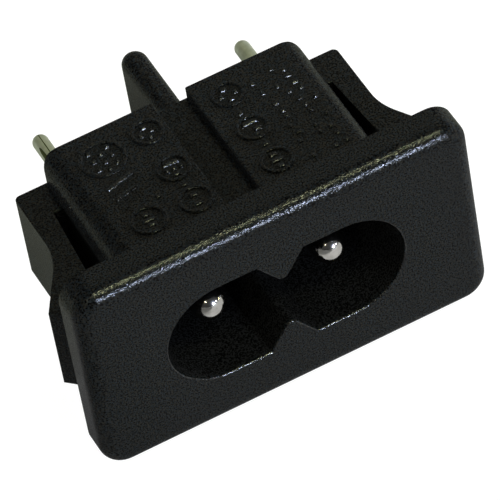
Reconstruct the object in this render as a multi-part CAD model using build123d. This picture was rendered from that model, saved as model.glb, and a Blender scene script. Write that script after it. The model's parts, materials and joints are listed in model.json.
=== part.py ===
from build123d import *
import math
import os

os.makedirs("parts", exist_ok=True)

# Frame: X to the right, front towards -Y, Z up, in millimetres.
# Y = 0 is the rear face of the bezel, the one that lies on the panel.
# X = 0, Z = 0 is the axis of the connector.

# Bezel
bezel_width = 27.8
bezel_height = 16.0
bezel_thickness = 2.55
bezel_corner_radius = 1.8
bezel_front_round = 1.1

# Figure-8 recess
pin_spacing = 8.6
pin_diameter = 2.4
lobe_spacing = 8.9
lobe_radius = 3.96
recess_depth = 12.0
notch_half_width = 1.67
notch_depth = 1.91
notch_tip_radius = 0.5
tip_setback = 1.6
rim_round = 0.15

# Body behind the bezel
side_wall = 0.95
roof_wall = 1.58
rear_wall = 3.05
body_edge_round = 1.4
body_rear_corner_radius = 0.75
valley_half_width = 1.2
valley_depth = 0.95
block_edge_round = 0.1

# Barrier rib between the terminals
rib_thickness = 1.8
rib_reach = 6.15
rib_crest_round = 0.8

# Latch arms, right-hand one; the left-hand one is its mirror image
arm_height = 6.6
arm_root_gap = 0.7
arm_nose_gap = 1.4
arm_root_thickness = 1.6
arm_rear_setback = 0.35
arm_rear_corner_radius = 0.4
bridge_length = 2.55
bridge_edge_round = 0.15
flare_start_setback = 5.15
flare_radius = 4.3
flare_angle = 31.0
peak_height = 2.1
ramp_angle = 45.0
nose_clearance = 0.5

# Contacts
terminal_spacing = 14.8
terminal_diameter = 1.1
terminal_rise = 0.95
terminal_reach = 5.7
web_cover = 0.8
web_thickness = 1.4
web_margin = 0.5
shoulder_height = 0.3

# Sizes that follow from the ones above
pin_x = pin_spacing / 2
pin_radius = pin_diameter / 2
lobe_x = lobe_spacing / 2
terminal_x = terminal_spacing / 2
terminal_radius = terminal_diameter / 2
face_y = -bezel_thickness
floor_y = face_y + recess_depth
rear_y = floor_y + rear_wall
body_half_width = lobe_x + lobe_radius + side_wall
body_half_height = lobe_radius + roof_wall
valley_floor_z = body_half_height - valley_depth
arm_rear_y = rear_y - arm_rear_setback
arm_root_x = body_half_width + arm_root_gap
bridge_front_y = arm_rear_y - bridge_length


def along_y(profile, start, end):
    """A profile drawn in X and Z, pushed out from one Y position to another."""
    return extrude(Plane.XZ.offset(-start) * profile, amount=start - end)


def disc(x, z, radius):
    """A circle in X and Z, drawn for along_y."""
    return Pos(x, z) * Circle(radius)


def along_z(profile, start, end):
    """A profile drawn in X and Y, pushed out from one height to another."""
    return extrude(Plane.XY.offset(start) * profile, amount=end - start)


def mirrored(shape):
    """The same shape on the other side of the connector's axis."""
    return mirror(shape, about=Plane.YZ)


def make_bezel():
    """Rounded plate; the rim of its front face is rounded over."""
    outline = RectangleRounded(bezel_width, bezel_height, bezel_corner_radius)
    plate = along_y(outline, 0, face_y)
    front_rim = plate.edges().group_by(Axis.Y)[0]
    return fillet(front_rim, bezel_front_round)


def make_body():
    """Bar behind the bezel: long edges rounded, rear corners rounded in plan."""
    section = RectangleRounded(2 * body_half_width, 2 * body_half_height, body_edge_round)
    bar = along_y(section, face_y + bezel_front_round, rear_y)
    plan_length = 2 * rear_y
    plan = RectangleRounded(2 * body_half_width, plan_length, body_rear_corner_radius)
    bar = bar & along_z(plan, -body_half_height, body_half_height)

    # A valley runs from front to rear, on the top and on the underside
    valley = along_y(Rectangle(2 * valley_half_width, 2 * valley_depth), 0, rear_y)
    for side in (1, -1):
        bar = bar - Pos(0, 0, side * body_half_height) * valley
    block_edges = [
        edge
        for edge in bar.edges().filter_by(Axis.Y)
        if abs(abs(edge.center().X) - valley_half_width) < 0.01
        and abs(edge.center().Z) > valley_floor_z + valley_depth / 2
    ]
    return fillet(block_edges, block_edge_round)


def make_rib():
    """Barrier rib behind the body: full-round rear end, top and bottom rounded too."""
    half = rib_thickness / 2
    start = floor_y + web_cover
    end = rear_y + rib_reach
    straight = end - half - start
    plan = Pos(0, start + straight / 2) * Rectangle(rib_thickness, straight)
    plan += Pos(0, end - half) * Circle(half)
    slab = along_z(plan, -valley_floor_z, valley_floor_z)
    rims = slab.edges().group_by(Axis.Z)
    return fillet(rims[0] + rims[-1], rib_crest_round)


def make_latch_arm():
    """Right-hand latch arm with the bridge that joins it to the body at the rear."""
    inner_nose = body_half_width + arm_nose_gap
    outer = arm_root_x + arm_root_thickness
    flare_start = rear_y - flare_start_setback

    # The outer face bends outwards on an arc, then runs straight to the peak
    bend = math.radians(flare_angle)
    arc_end_x = outer + flare_radius * (1 - math.cos(bend))
    arc_end_y = flare_start - flare_radius * math.sin(bend)
    half_bend = bend / 2
    arc_mid_x = outer + flare_radius * (1 - math.cos(half_bend))
    arc_mid_y = flare_start - flare_radius * math.sin(half_bend)
    peak_x = arc_end_x + (arc_end_y - peak_height) * math.tan(bend)

    # From the peak the locking ramp falls back inwards to the nose
    nose_x = peak_x - (peak_height - nose_clearance) * math.tan(math.radians(ramp_angle))

    outline = [
        Line((arm_root_x, arm_rear_y), (outer, arm_rear_y)),
        Line((outer, arm_rear_y), (outer, flare_start)),
        ThreePointArc((outer, flare_start), (arc_mid_x, arc_mid_y), (arc_end_x, arc_end_y)),
        Line((arc_end_x, arc_end_y), (peak_x, peak_height)),
        Line((peak_x, peak_height), (nose_x, nose_clearance)),
        Line((nose_x, nose_clearance), (inner_nose, nose_clearance)),
        Line((inner_nose, nose_clearance), (arm_root_x, bridge_front_y)),
        Line((arm_root_x, bridge_front_y), (arm_root_x, arm_rear_y)),
    ]
    plan = make_face(outline)
    rear_corner = plan.vertices().sort_by_distance((outer, arm_rear_y, 0))[0]
    plan = fillet(rear_corner, arm_rear_corner_radius)

    # The bridge reaches into the side wall, so that arm and body are one moulding
    bridge_inner = body_half_width - side_wall / 2
    bridge_width = arm_root_x - bridge_inner
    bridge_center = Pos(bridge_inner + bridge_width / 2, arm_rear_y - bridge_length / 2)
    plan += bridge_center * Rectangle(bridge_width, bridge_length)
    return along_z(plan, -arm_height / 2, arm_height / 2)


def make_recess():
    """Figure-8 socket recess: two round lobes and a waist with V-shaped notches."""
    outline = Rectangle(lobe_spacing, 2 * lobe_radius)
    for side in (1, -1):
        outline += Pos(side * lobe_x, 0) * Circle(lobe_radius)
    tip_center = lobe_radius - notch_depth + notch_tip_radius
    tip = Pos(0, tip_center) * Circle(notch_tip_radius)
    mouth = Line((-notch_half_width, lobe_radius), (notch_half_width, lobe_radius))
    notch = make_hull(tip.edges() + mouth.edges())
    outline -= notch
    outline -= mirror(notch, about=Plane.XZ)
    return along_y(outline, face_y, floor_y)


def make_contact():
    """Right-hand contact: domed pin, hidden web and rear tail in one piece.

    Pin and tail each have a shoulder in the rear wall, which ends flush with the plastic.
    """
    web_front = floor_y + web_cover
    web_rear = web_front + web_thickness

    dome_center = face_y + tip_setback + pin_radius
    pin = along_y(disc(pin_x, 0, pin_radius), dome_center, web_rear)
    pin += Pos(pin_x, dome_center, 0) * Sphere(pin_radius)
    pin += along_y(disc(pin_x, 0, pin_radius + shoulder_height), floor_y, web_rear)

    tail_end = rear_y + terminal_reach - terminal_radius
    tail = along_y(disc(terminal_x, terminal_rise, terminal_radius), web_front, tail_end)
    tail += Pos(terminal_x, tail_end, terminal_rise) * Sphere(terminal_radius)
    tail_shoulder = disc(terminal_x, terminal_rise, terminal_radius + shoulder_height)
    tail += along_y(tail_shoulder, web_front, rear_y)

    pin_boss = disc(pin_x, 0, pin_radius + web_margin)
    tail_boss = disc(terminal_x, terminal_rise, terminal_radius + web_margin)
    web = along_y(make_hull(pin_boss.edges() + tail_boss.edges()), web_front, web_rear)
    return pin + web + tail


contact_right = make_contact()
contact_left = mirrored(contact_right)

# One moulding: bezel, body, latch arms and rib, with the recess cut out of it.
# The plastic is moulded round the contacts, so it keeps exactly their shape.
latch_arm = make_latch_arm()
housing = make_bezel() + make_body() + make_rib() + latch_arm + mirrored(latch_arm)
housing = housing - make_recess() - contact_left - contact_right

# The rim of the recess is rounded over, all the way round its figure-8 outline
opening_rim = [
    edge
    for edge in housing.edges().group_by(Axis.Y)[0]
    if abs(edge.center().X) < body_half_width and abs(edge.center().Z) < body_half_height
]
housing = fillet(opening_rim, rim_round)

# The bridges' front edges, top and bottom, are rounded where they look into the slots
bridge_edges = [
    edge
    for edge in housing.edges().filter_by(Axis.X)
    if abs(edge.center().Y - bridge_front_y) < 0.01
    and abs(abs(edge.center().Z) - arm_height / 2) < 0.01
    and body_half_width < abs(edge.center().X) < arm_root_x
]
housing = fillet(bridge_edges, bridge_edge_round)

export_step(housing, "parts/housing.step")
export_step(contact_left, "parts/contact_left.step")
export_step(contact_right, "parts/contact_right.step")
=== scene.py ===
import bmesh
import bpy
import json
import math
from mathutils import Matrix, Vector


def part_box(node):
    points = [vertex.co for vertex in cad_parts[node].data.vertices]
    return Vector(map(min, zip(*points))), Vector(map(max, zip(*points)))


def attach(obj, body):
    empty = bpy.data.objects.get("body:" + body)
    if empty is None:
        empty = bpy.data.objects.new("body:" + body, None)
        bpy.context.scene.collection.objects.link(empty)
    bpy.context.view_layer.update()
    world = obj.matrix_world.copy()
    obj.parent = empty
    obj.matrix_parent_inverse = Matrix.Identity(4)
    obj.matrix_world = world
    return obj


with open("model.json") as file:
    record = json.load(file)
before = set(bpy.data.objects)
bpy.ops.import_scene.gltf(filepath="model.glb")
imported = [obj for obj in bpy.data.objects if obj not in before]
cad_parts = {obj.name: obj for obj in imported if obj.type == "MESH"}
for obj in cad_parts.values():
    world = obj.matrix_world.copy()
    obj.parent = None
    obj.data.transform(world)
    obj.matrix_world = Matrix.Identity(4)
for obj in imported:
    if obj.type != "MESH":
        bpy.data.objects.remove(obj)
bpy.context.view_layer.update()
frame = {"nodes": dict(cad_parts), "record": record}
nodes = frame["nodes"]

MM = 0.001

# Camera, fitted to the photograph: the point it aims at, its direction and its lens
AIM = Vector((-0.409, 1.543, 1.203)) * MM
CAMERA_DISTANCE = 378.36 * MM
CAMERA_AZIMUTH = -19.513
CAMERA_ELEVATION = 47.623
CAMERA_ROLL = -10.746
SENSOR_MM = 36.0
FOCAL_MM = 432.04

# Floor and backdrop in metres: a round bowl whose flat bottom is the floor
SWEEP_INNER_RADII = (0.02, 0.10, 0.30)
SWEEP_FLAT_RADIUS = 0.70
SWEEP_CURVE_RADIUS = 0.10
SWEEP_HEIGHT = 0.14
SWEEP_CURVE_STEPS = 12
SWEEP_SIDES = 96
PAPER_COLOUR = (0.85, 0.85, 0.84, 1.0)
SHADOW_COLOUR = (0.16, 0.16, 0.16, 1.0)
BLACK = (0.0, 0.0, 0.0, 1.0)
WHITE = (1.0, 1.0, 1.0, 1.0)
WHITE_STRENGTH = 0.93

# Colour of the softer lamps and of the room, and the room's strength
SOFT_WHITE = (1.0, 1.0, 0.98)
ROOM_STRENGTH = 0.08

# Shade on the floor close to the object, which only reflections show: an oval round the
# object's rear end and a stretch left of its front, each with its darkest level and its
# soft edge, and the tints in front and behind
OVAL_CENTER = (-2.0 * MM, 16.0 * MM)
OVAL_RADII = (12.5 * MM, 13.0 * MM)
OVAL_LEVEL = 0.40
OVAL_EDGE = (0.75, 1.25)
LEFT_LEVEL = 0.15
LEFT_EDGE_X = (-20.0 * MM, -6.0 * MM)
LEFT_EDGE_Y = (-1.0 * MM, 6.0 * MM)
FRONT_TINT = (0.98, 0.99, 1.0, 1.0)
REAR_TINT = (0.92, 1.0, 0.76, 1.0)
TINT_EDGE = (4.0 * MM, 16.0 * MM)

# Places on the object that the frame gives
housing_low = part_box("housing")[0]
FLOOR_Z = housing_low.z
BEZEL_FACE = housing_low.y
mounts = {mount["name"]: mount for mount in frame["record"]["mounts"]}
TAIL_X, _, TAIL_Z = mounts["terminal_right"]["pos_m"]

# Other places on it: the block tops, limits just outside the recess, and the rear face
BLOCK_TOP = 5.54 * MM
RECESS_HALF_WIDTH = 8.7 * MM
RECESS_HALF_HEIGHT = 4.2 * MM
RECESS_FLOOR = 9.6 * MM
BODY_REAR = 12.5 * MM

# Depths behind the bezel's face: the worn rim of the recess, and where the painted shade of its
# inside sets in
RIM_DEPTHS = (0.01 * MM, 0.16 * MM)
INSIDE_DEPTHS = (0.15 * MM, 0.45 * MM)

# Seam of the left-hand tail, and the oval opening left of it near the body
SEAM_WIDTH = 0.07 * MM
OPENING_CENTER = (-0.39 * MM, 16.0 * MM)
OPENING_RADII = (0.10 * MM, 0.95 * MM)

# Plastic: noise scales per metre, bump depths, and the colours that the grain mixes
GRAIN_SCALE = 9000.0
MOTTLE_SCALE = 3600.0
TINT_SCALE = 7500.0
CLOUD_SCALE = 300.0
GRAIN_DEPTH = 0.024 * MM
MOTTLE_DEPTH = 0.012 * MM
SPECK_RANGE = (0.38, 0.62)
GRAIN_DARK = (0.0016, 0.0017, 0.0018, 1.0)
GRAIN_WARM = (0.0156, 0.0144, 0.0118, 1.0)
GRAIN_COOL = (0.0104, 0.0140, 0.0172, 1.0)
# Painted shade: the inside of the recess takes these plainer colours, set for the even dark it
# shows
RECESS_SHADE_DARK = (0.0010, 0.0010, 0.0010, 1.0)
RECESS_SHADE_LIGHT = (0.0130, 0.0134, 0.0140, 1.0)
PLASTIC_ROUGHNESS = (0.46, 0.54)

# Gloss of the plastic's skin: grained faces, polished relief, worn rim and inside of the
# recess; the grain lets it swing between two shares
GRAIN_GLOSS = 0.15
RELIEF_GLOSS = 0.26
RIM_GLOSS = 0.30
RECESS_GLOSS = 0.03
GLOSS_SWING = (0.85, 1.15)
GLOSS_RANGE = (0.36, 0.64)
GLOSS_ROUGHNESS = 0.13

# Metal: drawing lines along the tails, cloudy stains, and the colours that these mix
LINE_SCALE = 9000.0
LINE_STRETCH = (1.0, 0.06, 1.0)
LINE_DEPTH = 0.003 * MM
STAIN_SCALE = 1400.0
STAIN_RANGE = (0.35, 0.7)
PIN_CLEAN = (0.40, 0.39, 0.37, 1.0)
PIN_STAINED = (0.30, 0.29, 0.27, 1.0)
TAIL_CLEAN = (0.43, 0.445, 0.41, 1.0)
TAIL_STAINED = (0.34, 0.355, 0.32, 1.0)
SEAM_COLOUR = (0.06, 0.07, 0.03, 1.0)
PIN_ROUGHNESS = (0.10, 0.15)
TAIL_EXTRA_ROUGHNESS = 0.55

# Relief on the tops of the two blocks, all in millimetres; its foot sinks into the block
RELIEF_SINK = 0.03
# A ring's stroke by width, height and edge round
RING_STROKE = (0.28, 0.12, 0.10)
RING_SIDES = 64
STROKE_STEPS = 6
BAR_WIDTH = 0.36
BAR_CORNER = 0.045
CORNER_STEPS = 3
# A bar's flank from its foot up: the elevation it faces, and the length of that step
BAR_FLANK = [
    (30, 0.025), (33, 0.035), (36, 0.025), (46, 0.015), (55, 0.03), (59, 0.03), (75, 0.015),
]
# Rings by centre and radius
LEFT_RINGS = [
    (-6.0, 9.9, 1.45), (-2.6, 10.4, 1.0), (-2.6, 6.7, 1.05), (-2.6, 3.5, 1.05), (-5.9, 3.6, 1.1),
]
RIGHT_RINGS = [(3.2, 10.4, 1.0), (3.2, 6.95, 1.0), (3.2, 3.6, 1.0)]
# Bars by centre, length and turn in degrees; the shortest ones are round pips
LEFT_BARS = [
    (-6.65, 10.75, 0.34, 0), (-5.35, 10.75, 0.36, 0), (-6.0, 10.35, 0.34, 0),
    (-6.65, 9.95, 0.34, 0), (-5.35, 9.95, 0.34, 0), (-6.0, 9.55, 0.34, 0),
    (-6.65, 9.15, 0.36, 0), (-5.35, 9.15, 0.34, 0), (-6.0, 8.85, 0.36, 0),
    (-2.7, 10.85, 0.45, 0), (-2.3, 10.4, 0.34, 0), (-3.1, 10.25, 0.34, 0), (-2.6, 9.9, 0.34, 0),
    (-2.6, 7.15, 1.15, 0), (-3.1, 6.6, 0.34, 0), (-2.6, 6.6, 0.34, 0), (-2.1, 6.6, 0.34, 0),
    (-2.6, 6.1, 0.50, 0), (-2.6, 3.9, 0.60, 0), (-2.6, 3.1, 0.60, 0), (-2.7, 5.05, 0.40, 0),
    (-5.95, 7.6, 2.20, 15), (-6.05, 6.5, 1.80, 15), (-6.6, 5.35, 0.40, 15), (-4.5, 5.05, 0.40, 0),
    (-5.9, 4.05, 0.50, 0), (-5.9, 3.6, 0.90, 0), (-5.9, 3.15, 0.50, 0),
]
RIGHT_BARS = [
    (3.1, 10.9, 0.50, 0), (2.7, 10.35, 0.34, 0), (3.7, 10.35, 0.34, 0), (3.2, 9.9, 0.40, 0),
    (3.2, 7.4, 1.15, 0), (3.45, 6.7, 0.60, 0), (3.2, 6.3, 0.36, 0), (3.1, 8.45, 0.36, 0),
    (3.2, 5.2, 0.50, 0), (3.2, 4.1, 0.60, 0), (3.2, 3.55, 0.95, 0), (3.2, 3.0, 0.50, 0),
    (4.9, 10.3, 0.34, 0), (6.5, 10.8, 0.34, 0), (7.15, 10.3, 0.34, 0), (7.15, 9.7, 0.50, 0),
    (5.1, 9.2, 0.34, 0), (6.15, 9.2, 0.34, 0), (7.3, 8.95, 0.50, 0), (6.6, 8.4, 0.34, 0),
    (7.4, 8.3, 0.34, 0), (5.4, 7.95, 0.45, 0), (5.45, 7.15, 0.36, 0), (5.5, 6.6, 0.34, 0),
    (6.9, 7.5, 0.34, 0), (6.95, 6.8, 0.34, 0), (7.0, 6.2, 0.34, 0), (7.8, 7.1, 0.34, 0),
    (5.2, 5.7, 0.34, 0), (5.45, 4.95, 0.55, 0), (5.2, 4.2, 0.34, 0), (6.6, 4.9, 0.34, 0),
    (6.6, 4.2, 0.34, 0), (7.4, 4.25, 0.40, 0), (7.5, 3.5, 0.34, 0), (6.9, 2.6, 0.34, 0),
    (5.3, 2.6, 0.36, 0), (7.7, 2.6, 0.34, 0), (7.7, 5.4, 0.34, 0),
]


def direction(azimuth, elevation):
    """Unit vector from the object; azimuth 0 is the front, 90 the right-hand side."""
    a, e = math.radians(azimuth), math.radians(elevation)
    return Vector((math.sin(a) * math.cos(e), -math.cos(a) * math.cos(e), math.sin(e)))


def link(obj):
    """Puts an object into the scene."""
    bpy.context.scene.collection.objects.link(obj)
    return obj


def make_camera():
    """The photograph's camera."""
    data = bpy.data.cameras.new("camera")
    data.sensor_width = SENSOR_MM
    data.lens = FOCAL_MM
    data.clip_start = 0.01
    data.clip_end = 10.0
    camera = link(bpy.data.objects.new("camera", data))
    back = direction(CAMERA_AZIMUTH, CAMERA_ELEVATION)
    level = (-back).to_track_quat("-Z", "Y").to_matrix().to_4x4()
    roll = Matrix.Rotation(math.radians(CAMERA_ROLL), 4, "Z")
    camera.matrix_world = Matrix.Translation(AIM + back * CAMERA_DISTANCE) @ level @ roll
    bpy.context.scene.camera = camera


def make_lamp(name, azimuth, elevation, distance, width, height, power, colour, part="all"):
    """A rectangular lamp that faces the object, its width level.

    part says what it lights: all, gleam for the reflections alone, fill for all but them.
    """
    data = bpy.data.lights.new(name, "AREA")
    data.shape = "RECTANGLE"
    data.size = width
    data.size_y = height
    data.energy = power
    data.color = colour
    lamp = link(bpy.data.objects.new(name, data))
    toward = direction(azimuth, elevation)
    turn = (-toward).to_track_quat("-Z", "Y").to_matrix().to_4x4()
    lamp.matrix_world = Matrix.Translation(toward * distance) @ turn
    lamp.visible_diffuse = part != "gleam"
    lamp.visible_glossy = part != "fill"


def make_lights():
    """Key light and ceiling light with their gleams, and softer lamps round the object."""
    # Name, azimuth and elevation in degrees, distance, width, height, power, colour
    make_lamp("key_lamp", 17, 19, 0.45, 0.09, 0.02, 1.4, (0.80, 0.90, 1.0))
    make_lamp("ceiling_lamp", 25, 63, 0.55, 0.14, 0.02, 0.75, (1.0, 0.96, 0.66))
    make_lamp("key_gleam", 17, 21.5, 0.45, 0.05, 0.012, 2.8, (0.60, 0.70, 1.0), part="gleam")
    make_lamp("ceiling_gleam", 25, 63, 0.55, 0.07, 0.012, 2.4, (0.92, 1.0, 0.56), part="gleam")
    make_lamp("side_gleam", 38, 20, 0.45, 0.02, 0.02, 0.5, (0.90, 0.95, 1.0), part="gleam")
    make_lamp("left_lamp", -38, 44, 0.50, 0.02, 0.02, 0.25, (1.0, 0.97, 0.70))
    make_lamp("right_lamp", 64, 11, 0.50, 0.01, 0.01, 0.05, (1.0, 0.95, 0.60))
    make_lamp("back_panel", 148, 48, 0.70, 0.40, 0.40, 0.32, (0.99, 1.0, 0.78))
    make_lamp("right_panel", 108, 17, 0.70, 0.50, 0.18, 0.50, SOFT_WHITE)
    make_lamp("rear_fill", 185, 6, 0.60, 0.30, 0.08, 8.0, SOFT_WHITE, part="fill")
    make_lamp("left_fill", -125, 8, 0.60, 0.30, 0.10, 0.8, SOFT_WHITE, part="fill")
    make_lamp("right_fill", 95, 12, 0.60, 0.30, 0.20, 5.4, SOFT_WHITE, part="fill")


def make_room():
    """A faint even light from all round."""
    world = bpy.data.worlds.new("room")
    world.use_nodes = True
    background = world.node_tree.nodes["Background"]
    background.inputs["Color"].default_value = (*SOFT_WHITE, 1.0)
    background.inputs["Strength"].default_value = ROOM_STRENGTH
    bpy.context.scene.world = world


class Nodes:
    """A material's node tree, with short calls to add and join nodes."""

    def __init__(self, name):
        self.material = bpy.data.materials.new(name)
        self.material.use_nodes = True
        self.tree = self.material.node_tree
        self.tree.nodes.clear()
        self.output = self.add("ShaderNodeOutputMaterial")

    def add(self, kind, inputs=(), **settings):
        """A node with its settings; each input is a value or another node's socket."""
        node = self.tree.nodes.new(kind)
        for key, value in settings.items():
            setattr(node, key, value)
        for key, value in dict(inputs).items():
            if isinstance(value, bpy.types.NodeSocket):
                self.tree.links.new(value, node.inputs[key])
            else:
                node.inputs[key].default_value = value
        return node

    def place(self):
        """The place on the object, in its own coordinates."""
        return self.add("ShaderNodeTexCoord").outputs["Object"]

    def axes(self, place):
        """The X, Y and Z of a place."""
        return self.add("ShaderNodeSeparateXYZ", {"Vector": place}).outputs

    def noise(self, place, scale, detail, roughness=0.5):
        inputs = {"Vector": place, "Scale": scale, "Detail": detail, "Roughness": roughness}
        return self.add("ShaderNodeTexNoise", inputs).outputs["Fac"]

    def spread(self, value, low, high, from_low=0.3, from_high=0.7):
        """Takes a value from one range to another and holds it at the ends."""
        inputs = {
            "Value": value, "From Min": from_low, "From Max": from_high,
            "To Min": low, "To Max": high,
        }
        return self.add("ShaderNodeMapRange", inputs).outputs["Result"]

    def math(self, operation, first, second=0.0):
        inputs = {0: first, 1: second}
        return self.add("ShaderNodeMath", inputs, operation=operation).outputs[0]

    def blend(self, factor, first, second):
        """A colour between two others."""
        mix = self.add("ShaderNodeMix", data_type="RGBA")
        for name, value in (("Factor_Float", factor), ("A_Color", first), ("B_Color", second)):
            socket = next(s for s in mix.inputs if s.identifier == name)
            if isinstance(value, bpy.types.NodeSocket):
                self.tree.links.new(value, socket)
            else:
                socket.default_value = value
        return next(s for s in mix.outputs if s.identifier == "Result_Color")

    def bump(self, height, depth, under=None):
        """A normal tilted by a height, on top of another normal where one is given."""
        inputs = {"Height": height, "Strength": 1.0, "Distance": depth}
        if under is not None:
            inputs["Normal"] = under
        return self.add("ShaderNodeBump", inputs).outputs["Normal"]

    def finish(self, shader):
        self.tree.links.new(shader, self.output.inputs["Surface"])
        return self.material


def oval_reach(n, across, along, center, radii):
    """Squared distance from the center of an oval, with 1 on its outline."""
    u = n.math("DIVIDE", n.math("SUBTRACT", across, center[0]), radii[0])
    v = n.math("DIVIDE", n.math("SUBTRACT", along, center[1]), radii[1])
    return n.math("ADD", n.math("MULTIPLY", u, u), n.math("MULTIPLY", v, v))


def recess_masks(n, place):
    """Two masks from the place on the part: the inside of the recess, where shade is painted, and
    its worn rim.
    """
    axes = n.axes(place)
    across = n.math("LESS_THAN", n.math("ABSOLUTE", axes["X"]), RECESS_HALF_WIDTH)
    upward = n.math("LESS_THAN", n.math("ABSOLUTE", axes["Z"]), RECESS_HALF_HEIGHT)
    before = n.math("LESS_THAN", axes["Y"], RECESS_FLOOR)
    around = n.math("MULTIPLY", n.math("MULTIPLY", across, upward), before)
    inside_start, inside_end = [BEZEL_FACE + depth for depth in INSIDE_DEPTHS]
    inward = n.spread(axes["Y"], 0.0, 1.0, inside_start, inside_end)
    rim_start, rim_end = [BEZEL_FACE + depth for depth in RIM_DEPTHS]
    off_face = n.math("GREATER_THAN", axes["Y"], rim_start)
    near_face = n.math("LESS_THAN", axes["Y"], rim_end)
    rim = n.math("MULTIPLY", off_face, near_face)
    return n.math("MULTIPLY", around, inward), n.math("MULTIPLY", around, rim)


def plastic_colour(n, place, grain, recess_shade):
    """Near-black with paler specks, some warm and some cool; inside the recess a plainer colour,
    painted shade.
    """
    specks = n.spread(grain, 0.0, 1.0, *SPECK_RANGE)
    tint = n.spread(n.noise(place, TINT_SCALE, detail=0.0), 0.0, 1.0, *SPECK_RANGE)
    outside = n.blend(specks, GRAIN_DARK, n.blend(tint, GRAIN_WARM, GRAIN_COOL))
    # Painted shade inside the recess: a plainer colour, set for the even dark it shows
    inside = n.blend(specks, RECESS_SHADE_DARK, RECESS_SHADE_LIGHT)
    return n.blend(recess_shade, outside, inside)


def plastic_material(name, gloss):
    """Black moulded plastic with a fine eroded grain and a thin gloss."""
    n = Nodes(name)
    place = n.place()
    grain = n.noise(place, GRAIN_SCALE, detail=1.0)
    mottle = n.noise(place, MOTTLE_SCALE, detail=1.0)
    cloud = n.noise(place, CLOUD_SCALE, detail=3.0)
    # The first mask carries the painted shade of the recess's inside
    recess_shade, rim = recess_masks(n, place)
    normal = n.bump(mottle, MOTTLE_DEPTH, under=n.bump(grain, GRAIN_DEPTH))
    skin = n.spread(recess_shade, gloss, RECESS_GLOSS, 0.0, 1.0)
    coat = n.math("ADD", n.math("MULTIPLY", rim, RIM_GLOSS), skin)
    shader = n.add(
        "ShaderNodeBsdfPrincipled",
        {
            "Base Color": plastic_colour(n, place, grain, recess_shade),
            "Roughness": n.spread(cloud, *PLASTIC_ROUGHNESS),
            "Specular IOR Level": 0.0,
            "Coat Weight": n.math("MULTIPLY", coat, n.spread(grain, *GLOSS_SWING, *GLOSS_RANGE)),
            "Coat Roughness": GLOSS_ROUGHNESS,
            "Normal": normal,
            "Coat Normal": normal,
        },
    )
    return n.finish(shader.outputs["BSDF"])


def seam_mask(n, axes):
    """1 along the seam of the left-hand tail and in the oval opening beside it."""
    aside = n.math("ADD", axes["X"], TAIL_X)
    seam = n.math("LESS_THAN", n.math("ABSOLUTE", aside), SEAM_WIDTH / 2)
    reach = oval_reach(n, aside, axes["Y"], OPENING_CENTER, OPENING_RADII)
    opening = n.math("LESS_THAN", reach, 1.0)
    upper = n.math("GREATER_THAN", axes["Z"], TAIL_Z)
    return n.math("MULTIPLY", n.math("MAXIMUM", seam, opening), upper)


def metal_material():
    """Plated brass: bright pins, duller solder tails with faint drawing lines."""
    n = Nodes("contact_metal")
    place = n.place()
    stretched = n.add("ShaderNodeMapping", {"Vector": place, "Scale": LINE_STRETCH})
    lines = n.noise(stretched.outputs["Vector"], LINE_SCALE, detail=3.0, roughness=0.6)
    cloud = n.noise(place, STAIN_SCALE, detail=3.0, roughness=0.55)
    axes = n.axes(place)
    tail = n.math("GREATER_THAN", axes["Y"], BODY_REAR)
    seam = n.math("MULTIPLY", seam_mask(n, axes), tail)
    stain = n.spread(cloud, 0.0, 1.0, *STAIN_RANGE)
    pin_colour = n.blend(stain, PIN_CLEAN, PIN_STAINED)
    tail_colour = n.blend(stain, TAIL_CLEAN, TAIL_STAINED)
    rougher = n.math("MULTIPLY", tail, TAIL_EXTRA_ROUGHNESS)
    shader = n.add(
        "ShaderNodeBsdfPrincipled",
        {
            "Base Color": n.blend(seam, n.blend(tail, pin_colour, tail_colour), SEAM_COLOUR),
            "Metallic": 1.0,
            "Roughness": n.math("ADD", n.spread(cloud, *PIN_ROUGHNESS), rougher),
            "Normal": n.bump(lines, LINE_DEPTH),
        },
    )
    return n.finish(shader.outputs["BSDF"])


def near_shade(n):
    """What the floor near the object shows in reflections: its shade, greenish behind."""
    axes = n.axes(n.place())
    reach = oval_reach(n, axes["X"], axes["Y"], OVAL_CENTER, OVAL_RADII)
    oval = n.spread(n.math("SQRT", reach), OVAL_LEVEL, 1.0, *OVAL_EDGE)
    aside = n.spread(axes["X"], 1.0, 0.0, *LEFT_EDGE_X)
    ahead = n.spread(axes["Y"], 1.0, 0.0, *LEFT_EDGE_Y)
    left = n.spread(n.math("MULTIPLY", aside, ahead), 1.0, LEFT_LEVEL, 0.0, 1.0)
    behind = n.spread(axes["Y"], 0.0, 1.0, *TINT_EDGE)
    tint = n.blend(behind, FRONT_TINT, REAR_TINT)
    return n.blend(n.math("MULTIPLY", oval, left), BLACK, tint)


def floor_material():
    """White to the camera; white in reflections too, but with painted shade on the floor near the
    object, and the object's shadow left faintly on it.
    """
    n = Nodes("pale_floor")
    path = n.add("ShaderNodeLightPath").outputs
    colour = n.blend(path["Is Camera Ray"], near_shade(n), WHITE)
    white = n.add("ShaderNodeEmission", {"Color": colour, "Strength": WHITE_STRENGTH})
    shadow = n.add("ShaderNodeBsdfDiffuse", {"Color": SHADOW_COLOUR})
    seen = n.add("ShaderNodeAddShader", {0: white.outputs["Emission"], 1: shadow.outputs["BSDF"]})
    paper = n.add("ShaderNodeBsdfDiffuse", {"Color": PAPER_COLOUR})
    reflected = n.math("MAXIMUM", path["Is Glossy Ray"], path["Is Transmission Ray"])
    shown = n.math("MAXIMUM", path["Is Camera Ray"], reflected)
    surface = n.add(
        "ShaderNodeMixShader", {0: shown, 1: paper.outputs["BSDF"], 2: seen.outputs["Shader"]}
    )

    # From below and from outside the bowl, the floor and the wall can't be seen
    clear = n.add("ShaderNodeBsdfTransparent")
    back = n.add("ShaderNodeNewGeometry").outputs["Backfacing"]
    both = n.add(
        "ShaderNodeMixShader", {0: back, 1: surface.outputs["Shader"], 2: clear.outputs["BSDF"]}
    )
    return n.finish(both.outputs["Shader"])


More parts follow.
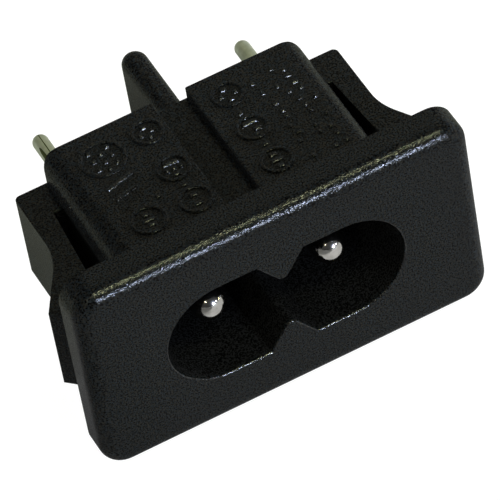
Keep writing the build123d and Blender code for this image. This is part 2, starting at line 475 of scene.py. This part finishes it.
def loft(bm, loops, cap_first=False, cap_last=False, closed=False):
    """Joins closed loops of points in order; closed joins the last one to the first."""
    rows = [[bm.verts.new(p) for p in loop] for loop in loops]
    pairs = list(zip(rows, rows[1:]))
    if closed:
        pairs.append((rows[-1], rows[0]))
    for low, high in pairs:
        for i in range(len(low)):
            j = (i + 1) % len(low)
            bm.faces.new((low[i], low[j], high[j], high[i]))
    if cap_last:
        bm.faces.new(rows[-1])
    if cap_first:
        bm.faces.new(rows[0])


def circle(x, y, z, radius, sides):
    """Points round a level circle."""
    turns = [2 * math.pi * k / sides for k in range(sides)]
    return [(x + radius * math.cos(t), y + radius * math.sin(t), z) for t in turns]


def stroke_profile(width, height, edge):
    """Half a stroke's section: (distance from the middle, height), from the foot inwards."""
    points = [(width / 2, -RELIEF_SINK)]
    for step in range(STROKE_STEPS + 1):
        turn = math.radians(90 * step / STROKE_STEPS)
        out = width / 2 - edge * (1 - math.cos(turn))
        points.append((out, height - edge * (1 - math.sin(turn))))
    return points


def add_ring(bm, x, y, radius):
    """A raised round line on the block's top."""
    half = stroke_profile(*RING_STROKE)
    section = half + [(-out, height) for out, height in reversed(half)]
    loops = [
        circle(x * MM, y * MM, BLOCK_TOP + height * MM, (radius + out) * MM, RING_SIDES)
        for out, height in section
    ]
    loft(bm, loops, closed=True)


def bar_profile():
    """A bar's flank as (inset, height): nearly straight, then rounded into the flat top."""
    points = [(0.0, -RELIEF_SINK), (0.0, 0.0)]
    for elevation, step in BAR_FLANK:
        inset, height = points[-1]
        turn = math.radians(elevation)
        points.append((inset + step * math.sin(turn), height + step * math.cos(turn)))
    return points


def rounded_box(half_length, half_width, corner):
    """Outline of a rectangle with small round corners and a spare point beside each one."""
    spare = corner / 3
    outline = []
    for quarter, (side_x, side_y) in enumerate(((1, 1), (-1, 1), (-1, -1), (1, -1))):
        center = Vector((side_x * (half_length - corner), side_y * (half_width - corner)))
        start = Vector((math.cos(math.pi / 2 * quarter), math.sin(math.pi / 2 * quarter)))
        end = Vector((-start.y, start.x))
        outline.append(center + start * corner - end * spare)
        for step in range(CORNER_STEPS + 1):
            turn = math.pi / 2 * step / CORNER_STEPS
            outline.append(center + (start * math.cos(turn) + end * math.sin(turn)) * corner)
        outline.append(center + end * corner - start * spare)
    return outline


def add_bar(bm, x, y, length, turn):
    """A short raised bar; turn lifts its right-hand end to the rear."""
    along = Vector((math.cos(math.radians(turn)), math.sin(math.radians(turn))))
    across = Vector((-along.y, along.x))
    loops = []
    for inset, height in bar_profile():
        loop = []
        for spot in rounded_box(length / 2 - inset, BAR_WIDTH / 2 - inset, BAR_CORNER):
            place = along * spot.x + across * spot.y
            loop.append(((x + place.x) * MM, (y + place.y) * MM, BLOCK_TOP + height * MM))
        loops.append(loop)
    loft(bm, loops, cap_first=True, cap_last=True)


def make_piece(name, bm, material):
    """A smooth-shaded object from a finished bmesh."""
    mesh = bpy.data.meshes.new(name)
    bm.to_mesh(mesh)
    bm.free()
    for face in mesh.polygons:
        face.use_smooth = True
    mesh.materials.append(material)
    return link(bpy.data.objects.new(name, mesh))


def make_relief(name, add_stroke, strokes, material):
    """Raised strokes of one kind on the top of one block, as one piece."""
    bm = bmesh.new()
    for stroke in strokes:
        add_stroke(bm, *stroke)
    bmesh.ops.recalc_face_normals(bm, faces=bm.faces)
    piece = make_piece(name, bm, material)
    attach(piece, "root")


def make_sweep():
    """Floor and backdrop in one: a flat disc that curves up into a round wall."""
    profile = [(radius, 0.0) for radius in (*SWEEP_INNER_RADII, SWEEP_FLAT_RADIUS)]
    for step in range(1, SWEEP_CURVE_STEPS + 1):
        turn = math.radians(90 * step / SWEEP_CURVE_STEPS)
        reach = SWEEP_FLAT_RADIUS + SWEEP_CURVE_RADIUS * math.sin(turn)
        profile.append((reach, SWEEP_CURVE_RADIUS * (1 - math.cos(turn))))
    profile.append((SWEEP_FLAT_RADIUS + SWEEP_CURVE_RADIUS, SWEEP_HEIGHT))
    loops = [
        circle(0.0, 0.0, FLOOR_Z + height, radius, SWEEP_SIDES)
        for radius, height in reversed(profile)
    ]
    bm = bmesh.new()
    loft(bm, loops, cap_last=True)
    make_piece("floor_sweep", bm, floor_material())


def main():
    """The studio, the finish of the CAD pieces, and the relief on the blocks."""
    make_camera()
    make_lights()
    make_room()
    make_sweep()
    plastic = plastic_material("black_plastic", GRAIN_GLOSS)
    polished = plastic_material("black_plastic_polished", RELIEF_GLOSS)
    metal = metal_material()
    for name, node in nodes.items():
        node.data.materials.clear()
        node.data.materials.append(plastic if name == "housing" else metal)
    make_relief("rings_left", add_ring, LEFT_RINGS, plastic)
    make_relief("rings_right", add_ring, RIGHT_RINGS, plastic)
    make_relief("bars_left", add_bar, LEFT_BARS, polished)
    make_relief("bars_right", add_bar, RIGHT_BARS, polished)
    bpy.context.scene.view_settings.view_transform = "Standard"


main()
